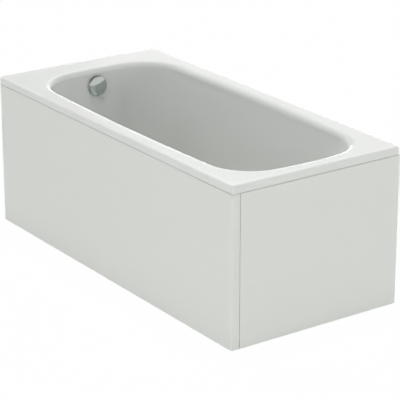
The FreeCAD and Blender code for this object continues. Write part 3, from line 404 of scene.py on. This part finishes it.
def grid_object(name, points, material, close_rows=False, sharp=32):
    """An object from a grid of points in millimetres, whose columns close on themselves."""
    rows, columns = points.shape[:2]
    flat = points.reshape(-1, 3) * mm
    faces = grid_faces(rows, columns, close_rows, True)
    if signed_volume(flat, faces) < 0:
        faces = faces[:, ::-1]
    mesh = bpy.data.meshes.new(name)
    mesh.from_pydata(flat, [], faces)
    merge_points(mesh, 1e-7)
    return finished(name, mesh, material, sharp)


print("meshes are in metres:", mm, "of a metre to a millimetre")

# %% [markdown]
# The arcs of the basin. A side that looks straight is really bowed by a centimetre or two, which
# stiffens the sheet. Such an arc's radius follows from its length and its bow, and a corner that
# runs smoothly into two arcs has its centre where two distances are known.

# %% Arcs
def bow_radius(half_chord, bow):
    """The radius of an arc from half its chord c and its depth b: (c c + b b) / (2 b)."""
    return (half_chord ** 2 + bow ** 2) / (2 * bow)


def corner_centre(side, side_r, end, end_r, corner_r):
    """The centre that is side_r - corner_r from the side's and end_r - corner_r from the end's."""
    distance = np.hypot(*(end - side))
    along = (end - side) / distance
    reach = ((side_r - corner_r) ** 2 - (end_r - corner_r) ** 2 + distance ** 2) / (2 * distance)
    rise = np.sqrt((side_r - corner_r) ** 2 - reach ** 2)
    across = np.array([-along[1], along[0]])
    foot = side + along * reach
    return max(foot + across * rise, foot - across * rise, key=lambda centre: centre[1])


def closed_half(half, z):
    """A whole outline from its half with y above zero, and its mirror image, at a height."""
    plan = np.vstack([half, (half[1:-1] * [1, -1])[::-1]])
    return np.column_stack([plan, np.full(len(plan), z)])


print("a side 1300 long with a bow of 20 has a radius of", round(bow_radius(650, 20)))

# %% [markdown]
# The basin's plan. At each height the basin is an oval of eight arcs that run smoothly into each
# other: two gently bowed sides, two bowed ends and four large corners. Only the half towards the
# wall is worked out, and the other half is its mirror image. Between the rim and the floor every
# size changes evenly, which is what makes the walls slope.

# %% Basin ovals
rim_z, floor_z = 577.0, 150.0
basin_depth = rim_z - floor_z
arc_steps = (12, 26, 48, 26, 12)
plan_at_mouth_and_floor = {
    "low_x": (-625, -565), "high_x": (689, 395), "half": (284, 230), "low_corner": (166, 150),
    "high_corner": (160, 150), "side_bow": (20, 14), "low_bow": (20, 14), "high_bow": (38, 30)}


def oval(height, grow=0.0, lay=None):
    """The basin's outline at a height, grown outwards, and laid at another height if given.

    Each arc is centre + radius (cos t, sin t), with t running on from one arc to the next."""
    share = (rim_z - height) / basin_depth
    size = {name: at_mouth + (at_floor - at_mouth) * share
            for name, (at_mouth, at_floor) in plan_at_mouth_and_floor.items()}
    low_x, high_x, half = size["low_x"] - grow, size["high_x"] + grow, size["half"] + grow
    low_corner, high_corner = size["low_corner"] + grow, size["high_corner"] + grow
    side_r = bow_radius((high_x - low_x) / 2 - grow, size["side_bow"]) + grow
    low_r = bow_radius(half - grow, size["low_bow"]) + grow
    high_r = bow_radius(half - grow, size["high_bow"]) + grow
    side = np.array([(low_x + high_x) / 2, half - side_r])
    low, high = np.array([low_x + low_r, 0]), np.array([high_x - high_r, 0])
    near = corner_centre(side, side_r, low, low_r, low_corner)
    far = corner_centre(side, side_r, high, high_r, high_corner)
    turns = [math.pi] + [math.atan2(*(to - start)[::-1]) for start, to in
                         ((low, near), (side, near), (side, far), (high, far))] + [0.0]
    centres = [low, near, side, far, high]
    radii = [low_r, low_corner, side_r, high_corner, high_r]
    pieces = [centre + radius * np.stack([np.cos(t), np.sin(t)], axis=1)
              for centre, radius, t in
              ((centres[k], radii[k], np.linspace(turns[k], turns[k + 1], arc_steps[k] + 1)[:-1])
               for k in range(5))]
    return closed_half(np.vstack(pieces + [[[high_x, 0.0]]]), height if lay is None else lay)


mouth = oval(rim_z)
print("the mouth is", np.ptp(mouth[:, 0]).round(1), "by", np.ptp(mouth[:, 1]).round(1), "mm")

# %% [markdown]
# The rim's outline is a rectangle with small rounds at its corners. It needs as many points as the
# ovals have, and in step with them, so that the flat rim between the two is an even mesh. Each
# large corner of the oval therefore faces a straight, a small round and a straight.

# %% Rim outline
half_length, half_width, corner_round = 750, 350, 10


def rim_outline(inset, round_r, z):
    """The rim's rectangle, moved in by a distance, with its corner rounds, at a height."""
    x0, x1, y1 = inset - half_length, half_length - inset, half_width - inset
    start, side0, side1, end = (mouth[sum(arc_steps[:k])] for k in (1, 2, 3, 4))
    third = arc_steps[1] // 3
    rest = arc_steps[1] - 2 * third
    turn = np.linspace(0, math.pi / 2, third + 1)[:-1]
    near = np.column_stack([x0 + round_r - round_r * np.cos(turn),
                            y1 - round_r + round_r * np.sin(turn)])
    far = np.column_stack([x1 - round_r + round_r * np.sin(turn),
                           y1 - round_r + round_r * np.cos(turn)])
    runs = [np.linspace((x0, 0), (x0, start[1]), arc_steps[0] + 1)[:-1],
            np.linspace((x0, start[1]), (x0, y1 - round_r), rest + 1)[:-1], near,
            np.linspace((x0 + round_r, y1), (side0[0], y1), third + 1)[:-1],
            np.linspace((side0[0], y1), (side1[0], y1), arc_steps[2] + 1)[:-1],
            np.linspace((side1[0], y1), (x1 - round_r, y1), third + 1)[:-1], far,
            np.linspace((x1, y1 - round_r), (x1, end[1]), rest + 1)[:-1],
            np.linspace((x1, end[1]), (x1, 0), arc_steps[4] + 1)]
    return closed_half(np.vstack(runs), z)


print("outline and oval both have", len(rim_outline(0, corner_round, 0)), "points")

# %% [markdown]
# The outlines that lie between the main ones. On a flat or a straight wall they are plain mixtures
# of two outlines. The roll and the cove are conic curves, which leave each flat exactly along its
# own direction. Round the waste the floor's outline shrinks to a circle.

# %% Outlines between outlines
waste_x = -430.0


def mix(first, second, share):
    """Points part of the way from one outline to another."""
    return first + (second - first) * share


def conic(first, middle, last, weight, steps):
    """Outlines along a conic from first to last that the middle one pulls towards itself.

    Each is ((1-t)^2 A + 2 t (1-t) w B + t^2 C) / ((1-t)^2 + 2 t (1-t) w + t^2)."""
    curve = []
    for t in np.linspace(0, 1, steps + 1)[1:]:
        a, b, c = (1 - t) ** 2, 2 * t * (1 - t) * weight, t ** 2
        curve.append((a * first + b * middle + c * last) / (a + b + c))
    return curve


def drain_ring(radius, z):
    """A circle round the waste whose points lie on straight lines to those of the floor's oval."""
    away = floor_edge[:, :2] - [waste_x, 0]
    plan = [waste_x, 0] + radius * away / np.linalg.norm(away, axis=1)[:, None]
    return np.column_stack([plan, np.full(len(plan), z)])


wall_tilt = math.atan2(np.ptp(plan_at_mouth_and_floor["low_x"]), basin_depth)
pull = math.cos((math.pi / 2 - wall_tilt) / 2)
print("the overflow's wall leans by", round(math.degrees(wall_tilt), 1), "degrees")

# %% [markdown]
# The acrylic shell is one closed skin. A profile runs up the skirt, over the rounded edge, across
# the rim, rolls down into the basin, follows the wall, turns through the cove on to the floor and
# dips into the recess of the waste. Below, it comes back the same way five millimetres behind.

# %% Acrylic shell, upper side
acrylic_wall, skirt_z, edge_r, roll, cove = 5.0, 549, 7.0, 20.0, 69
edge_rows, roll_rows, wall_rows, cove_rows, floor_rows = 7, 18, 14, 22, 8
recess_profile = [(44.8, 150), (44.2, 149.8), (44, 149.2), (44, 147), (26, 147), (26, 142),
                  (49, 142), (49, 145)]
floor_edge = oval(floor_z, -cove)

rows = [rim_outline(0, corner_round, z) for z in (skirt_z, rim_z - edge_r)]
for turn in np.linspace(0, math.pi / 2, edge_rows + 1)[1:]:
    inset = edge_r * (1 - math.cos(turn))
    rows.append(rim_outline(inset, corner_round - inset,
                            rim_z - edge_r + edge_r * math.sin(turn)))
roll_start = oval(rim_z, roll)
rows += [mix(rows[-1], roll_start, share) for share in (0.35, 0.7, 1.0)]
wall_top, wall_end = (mix(mouth, oval(floor_z), depth / basin_depth)
                      for depth in (roll, basin_depth - cove))
rows += conic(roll_start, mouth, wall_top, pull, roll_rows)
rows += [mix(wall_top, wall_end, share) for share in np.linspace(0, 1, wall_rows + 1)[1:]]
rows += conic(wall_end, oval(floor_z), floor_edge, pull, cove_rows)
rows += [mix(floor_edge, drain_ring(*recess_profile[0]), share)
         for share in np.linspace(0, 1, floor_rows + 1)[1:]]
rows += [drain_ring(radius, z) for radius, z in recess_profile[1:]]
print("the upper side has", len(rows), "rows")

# %% [markdown]
# The way back, along the underside. It needs fewer rows, because it is hidden once the bath is
# built in. The skirt's lower edge has a small bevel, and the last row meets the first.

# %% Acrylic shell, underside
under_rim, under_floor = rim_z - acrylic_wall, floor_z - acrylic_wall
under_wall = [mix(oval(under_rim, acrylic_wall), oval(under_floor, acrylic_wall),
                  depth / basin_depth) for depth in (9, 353)]
rows.append(oval(floor_z, -cove, under_floor))
rows += conic(rows[-1], oval(under_floor, acrylic_wall), under_wall[1], pull, 12)
rows += [mix(under_wall[1], under_wall[0], share) for share in np.linspace(0, 1, 7)[1:]]
rows.append(oval(rim_z, 14, under_rim))
rows += [rim_outline(inset, corner_round - inset, z)
         for inset, z in ((acrylic_wall, under_rim), (acrylic_wall, skirt_z), (4, skirt_z - 1),
                          (1, skirt_z - 1))]
shell_points = np.stack(rows)
acrylic_shell = grid_object("acrylic_shell", shell_points, white_acrylic, close_rows=True)
print("acrylic shell:", shell_points.shape[0], "rows of", shell_points.shape[1], "points")

# %% [markdown]
# Turned shapes. The overflow, the knob, the plug, the feet and their rods are all round about an
# axis, so one function makes them: a profile of distances along the axis and radii is turned
# through a full circle. A swell may be added to the radius where a piece isn't quite round.

# %% Turned shapes
def around(count):
    """Evenly spaced angles round a circle."""
    return np.linspace(0, 2 * math.pi, count, endpoint=False)


def turned(profile, base, axis, t, swell=0.0):
    """A grid turned about an axis: base + axis a + (r + swell) (side cos t + up sin t).

    The profile lists (a, r). The swell is zero, or a table with a value for each row and t."""
    along, radius = np.array(profile, dtype=float).T
    side = np.array([0.0, 1.0, 0.0])
    other = np.cross(axis, side)
    spoke = np.cos(t)[:, None] * side + np.sin(t)[:, None] * other
    reach = (radius[:, None] + swell + 0 * t)[:, :, None]
    return base + along[:, None, None] * axis + reach * spoke


def edge_round(along, radius, size, start, end, steps=8):
    """Points of a quarter round about (along, radius): size (sin t, cos t) from start to end."""
    t = np.radians(np.linspace(start, end, steps + 1))
    return [(along + size * math.sin(k), radius + size * math.cos(k)) for k in t]


def dome_profile(apex, edge_r, bow, steps=24):
    """Points (a, r) of a shallow dome of that bow, from its edge to its apex."""
    size = bow_radius(edge_r, bow)
    t = np.linspace(math.asin(edge_r / size), 0, steps + 1)
    return [(apex - size + size * math.cos(k), size * math.sin(k)) for k in t]


upright = np.array([0.0, 0.0, 1.0])
print("a dome 10 wide and 1 high is part of a ball of radius", bow_radius(5, 1))

# %% [markdown]
# The overflow goes through the end wall, square to the wall's slope. A plain round cutter makes
# the hole, and the cut is kept in the mesh.

# %% Overflow hole
overflow_point = np.array([-616.007, 0.0, 513.0])
overflow_axis = np.array([math.cos(wall_tilt), 0.0, math.sin(wall_tilt)])
hole_r, cutter_half = 26, 25

cutter_profile = [(-cutter_half, 0), (-cutter_half, hole_r), (cutter_half, hole_r),
                  (cutter_half, 0)]
cutter = grid_object("overflow_cutter", turned(cutter_profile, overflow_point, overflow_axis,
                                               around(96)), white_acrylic)
cut = acrylic_shell.modifiers.new("overflow", "BOOLEAN")
cut.operation, cut.solver, cut.object = "DIFFERENCE", "EXACT", cutter
bpy.context.view_layer.update()
evaluated = acrylic_shell.evaluated_get(bpy.context.evaluated_depsgraph_get())
holed = bpy.data.meshes.new_from_object(evaluated)
bpy.data.objects.remove(acrylic_shell)
bpy.data.objects.remove(cutter)
merge_points(holed, 2e-5)
acrylic_shell = finished("acrylic_shell", holed, white_acrylic)
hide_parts("bath_shell")
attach(acrylic_shell, "tub")
print("the shell has", len(holed.polygons), "faces after the cut")

# %% [markdown]
# The knob is a heavy turned and chromed cap with a low dome, a bevelled edge and a small nub at
# its lower edge that shows how far it is turned. A true dome matters here: the cap mirrors
# the basin wall below and the bright rim above, and the curve sets where one gives way to the
# other.

# %% Knob
knob_r, knob_back, knob_face, bevel_r = 39.8, 1.5, 16.7, 1.2
dome_edge, dome_bow = 36, 5.5
inside_r, inside, hub_r, hub_end, spindle_r = 37.8, 9.2, 9, 6.35, 5
knob_profile = ([(knob_back, inside_r), (knob_back, 39.4), (1.9, knob_r)]
                + edge_round(7.1, knob_r - bevel_r, bevel_r, 0, 45, 4)
                + edge_round(10.05, 35.65, bevel_r, 45, 72, 4)
                + dome_profile(knob_face, dome_edge, dome_bow)[1:]
                + [(inside, 0), (inside, spindle_r), (hub_end, spindle_r), (hub_end, hub_r),
                   (inside, hub_r), (inside, inside_r)])

nub_r, nub_out, downwards = 3.2, 2.4, 1.5 * math.pi
nub_half = math.asin(nub_r / knob_r)
knob_turns = np.sort(np.append(around(160), downwards + np.linspace(-nub_half, nub_half, 28)))
off_nub = knob_turns - downwards
chord = np.sqrt(np.maximum(nub_r ** 2 - (knob_r * np.sin(off_nub)) ** 2, 0))
nub = np.clip(knob_r * np.cos(off_nub) + chord - knob_r, 0, nub_out) * (abs(off_nub) < nub_half)
along, radius = np.array(knob_profile).T
held = np.clip((10.6 - along) / 0.9, 0, 1) * (radius > knob_r - bevel_r)
knob_cap = grid_object("knob_cap", turned(knob_profile, overflow_point, overflow_axis, knob_turns,
                                          held[:, None] * nub), chrome, close_rows=True, sharp=40)
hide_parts("overflow_knob")
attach(knob_cap, "knob")
print("the knob's face stands", knob_face, "mm off the wall")

# %% [markdown]
# The plug is a shallow chromed dome on a thin stem, with its edge rounded so that it can't cut a
# foot. It lies on its seal and rides with it when the knob lifts both.

# %% Plug
plug_low, plug_high = (corner / mm for corner in map(np.array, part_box("drain_plug")))
plug_base = np.array([waste_x, 0.0, 152.3])
stem_end, stem_r, plug_r, plug_edge_r = plug_low[2] - plug_base[2], 3, 31, 1.4
plug_profile = ([(stem_end, 0), (stem_end, stem_r - 0.6), (stem_end + 0.6, stem_r), (0, stem_r),
                 (0, plug_r - 0.6), (0.2, plug_r - 0.2), (0.6, plug_r)]
                + edge_round(plug_edge_r, plug_r - plug_edge_r, plug_edge_r, 0, 80)
                + dome_profile(5.5, 28.6, 2.6))
plug_cap = grid_object("plug_cap", turned(plug_profile, plug_base, upright, around(128)), chrome,
                       sharp=50)
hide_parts("drain_plug")
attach(plug_cap, "plug")
print("the plug is", round(plug_high[2] - plug_low[2], 1), "mm tall with its stem")

# %% [markdown]
# The pads of the feet are moulded with soft edges, a wide base and a collar that the rod turns in.
# Four stand at the ends of the two leg channels.

# %% Foot pads
feet = [(x, y) for x in (-330, 230) for y in (-260, 260)]
pad_r, pad_round, socket_outer_r, socket_bore, pad_high = 25, 2.5, 10, 5.05, 13
pad_profile = ([(0, 0), (0, 23.8), (0.4, 24.7), (1.2, pad_r)]
               + edge_round(5.5, pad_r - pad_round, pad_round, 0, 90)
               + [(8, 11), (8.3, 10.3), (9, socket_outer_r)]
               + edge_round(12, socket_outer_r - 1, 1, 0, 90)
               + [(pad_high, 5.4), (12.7, socket_bore), (4, socket_bore), (4, 0)])
for number, (x, y) in enumerate(feet, start=1):
    pad = grid_object(f"moulded_pad_{number}", turned(pad_profile, np.array([x, y, 0.0]), upright,
                      around(72)), black_plastic, sharp=50)
    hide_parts(f"foot_pad_{number}")
    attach(pad, f"pad_{number}")
print(len(feet), "pads,", pad_high, "mm high")

# %% [markdown]
# Each foot has a threaded rod with a pitch of 1.5 millimetres, which a spanner turns by its
# hexagon collar. The thread is one long groove that winds up the rod. On a grid round the rod, the
# groove's depth depends on the height less the share of the turn, so it needs no helix curve, and
# six rows to a pitch are enough. A face of the hexagon is as far out as flat_r / cos t.

# %% Threaded rods
pitch, groove_depth, rod_r, flat_r, bevel = 1.5, 0.92, 5.0, 8.0, 0.6
rod_low, collar_low, collar_high, rod_high = 4.3, 13.3, 21.3, 160.0
sixth, rod_turns = math.pi / 3, around(24)
rod_profile = ([(rod_low, 0), (rod_low, 4.4), (rod_low + bevel, rod_r), (collar_low, rod_r)]
               + [(z, flat_r) for z in (collar_low, collar_low + bevel, collar_high - bevel,
                                        collar_high)]
               + [(z, rod_r) for z in np.arange(collar_high, rod_high - 0.9, pitch / 6)]
               + [(rod_high, 4.2), (rod_high, 0)])
height_up = np.array(rod_profile)[:, :1]
wound = height_up / pitch - rod_turns / (2 * math.pi)
threaded = np.clip((height_up - collar_high) / pitch, 0, 1) * (height_up < rod_high)
rod_swell = -groove_depth * threaded * (0.5 - 0.5 * np.cos(2 * math.pi * wound))
corners = flat_r / np.cos(rod_turns % sixth - sixth / 2) - flat_r
rod_swell[5:7] = corners
rod_swell[[4, 7]] = np.minimum(corners, 0.4)
for number, (x, y) in enumerate(feet, start=1):
    threaded_rod = grid_object(f"threaded_rod_{number}",
                               turned(rod_profile, np.array([x, y, 0.0]), upright, rod_turns,
                                      rod_swell), zinc, sharp=55)
    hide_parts(f"foot_rod_{number}")
    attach(threaded_rod, f"rod_{number}")
low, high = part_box("foot_rod_4")
print("the last rod spans", [round(size / mm, 2) for size in threaded_rod.dimensions],
      "mm, the solid", [round((b - a) / mm, 2) for a, b in zip(low, high)])

# %% [markdown]
# The trap and the overflow pipe are bent tubes. Each follows a flat path of straights and round
# bends, with a ring of points at every step: out along the outer skin, over the end, and back
# along the bore. The trap's far end widens into the socket that the outlet pipe slides into.

# %% Bent tubes
def bend(u, v, radius, start, end, steps):
    """Path entries (u, v, way u, way v) along an arc round (u, v), between two angles."""
    t = np.radians(np.linspace(start, end, steps + 1))
    sense = math.copysign(1, end - start)
    return [(u + radius * math.cos(k), v + radius * math.sin(k),
             -sense * math.sin(k), sense * math.cos(k)) for k in t]


def piped(origin, along, path, radii, count=64):
    """Rings round a path in an upright plane: point + r (cos t across + sin t normal)."""
    u, v, way_u, way_v = np.array(path, dtype=float).T
    across = np.cross(along, upright)
    centre = origin + u[:, None] * along + v[:, None] * upright
    normal = way_u[:, None] * upright - way_v[:, None] * along
    t = around(count)
    ring = (np.cos(t)[None, :, None] * across
            + np.sin(t)[None, :, None] * normal[:, None, :])
    return centre[:, None, :] + np.array(radii, dtype=float)[:, None, None] * ring


print("a quarter bend of radius 10 has", len(bend(0, 0, 10, 0, 90, 8)), "points")

# %% [markdown]
# The trap goes down from the waste, round a half bend that holds the water, and up into a quarter
# bend that ends in the socket. The overflow pipe comes down behind the end wall and turns in
# under the floor, to the waste.

# %% Trap and overflow pipe
trap_r, trap_bore, trap_turn, trap_top, bend_z = 20, 17.5, 32, 75.7, 64.5
trap_path = ([(0, trap_top, 0, -1)] + bend(trap_turn, bend_z, trap_turn, 180, 360, 28)
             + bend(3 * trap_turn, bend_z, trap_turn, 180, 90, 14))
socket = [(96, trap_r), (96, 22.4), (96.6, 23), (117.4, 23), (118, 22.4), (118, 20.05),
          (98.5, 20.05), (98.5, trap_bore)]
trap_rings = trap_path + [(y, bend_z + trap_turn, 1, 0) for y, _ in socket] + trap_path[::-1]
trap_radii = ([trap_r] * len(trap_path) + [r for _, r in socket]
              + [trap_bore] * len(trap_path))
trap_tube = grid_object("trap_tube", piped(np.array([waste_x, 0, 0]), np.array([0, 1.0, 0]),
                        trap_rings, trap_radii), polypropylene, close_rows=True)

pipe_r, pipe_bore, pipe_turn, pipe_end_z = 11, 9.5, 42, 106
pipe_low, pipe_high = (corner / mm for corner in map(np.array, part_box("overflow_pipe")))
pipe_x = pipe_low[0] + pipe_r
pipe_path = ([(pipe_x, pipe_high[2], 0, -1)]
             + bend(pipe_x + pipe_turn, pipe_end_z + pipe_turn, pipe_turn, 180, 270, 20)
             + [(pipe_high[0], pipe_end_z, 1, 0)])
pipe_radii = [pipe_r] * len(pipe_path) + [pipe_bore] * len(pipe_path)
pipe_tube = grid_object("pipe_tube", piped(np.zeros(3), np.array([1.0, 0, 0]),
                        pipe_path + pipe_path[::-1], pipe_radii), polypropylene, close_rows=True)
for tube, node_name in ((trap_tube, "trap"), (pipe_tube, "overflow_pipe")):
    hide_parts(node_name)
    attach(tube, "tub")
    low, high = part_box(node_name)
    print(tube.name, "spans", [round(size / mm, 1) for size in tube.dimensions], "mm, the solid",
          [round((b - a) / mm, 1) for a, b in zip(low, high)])
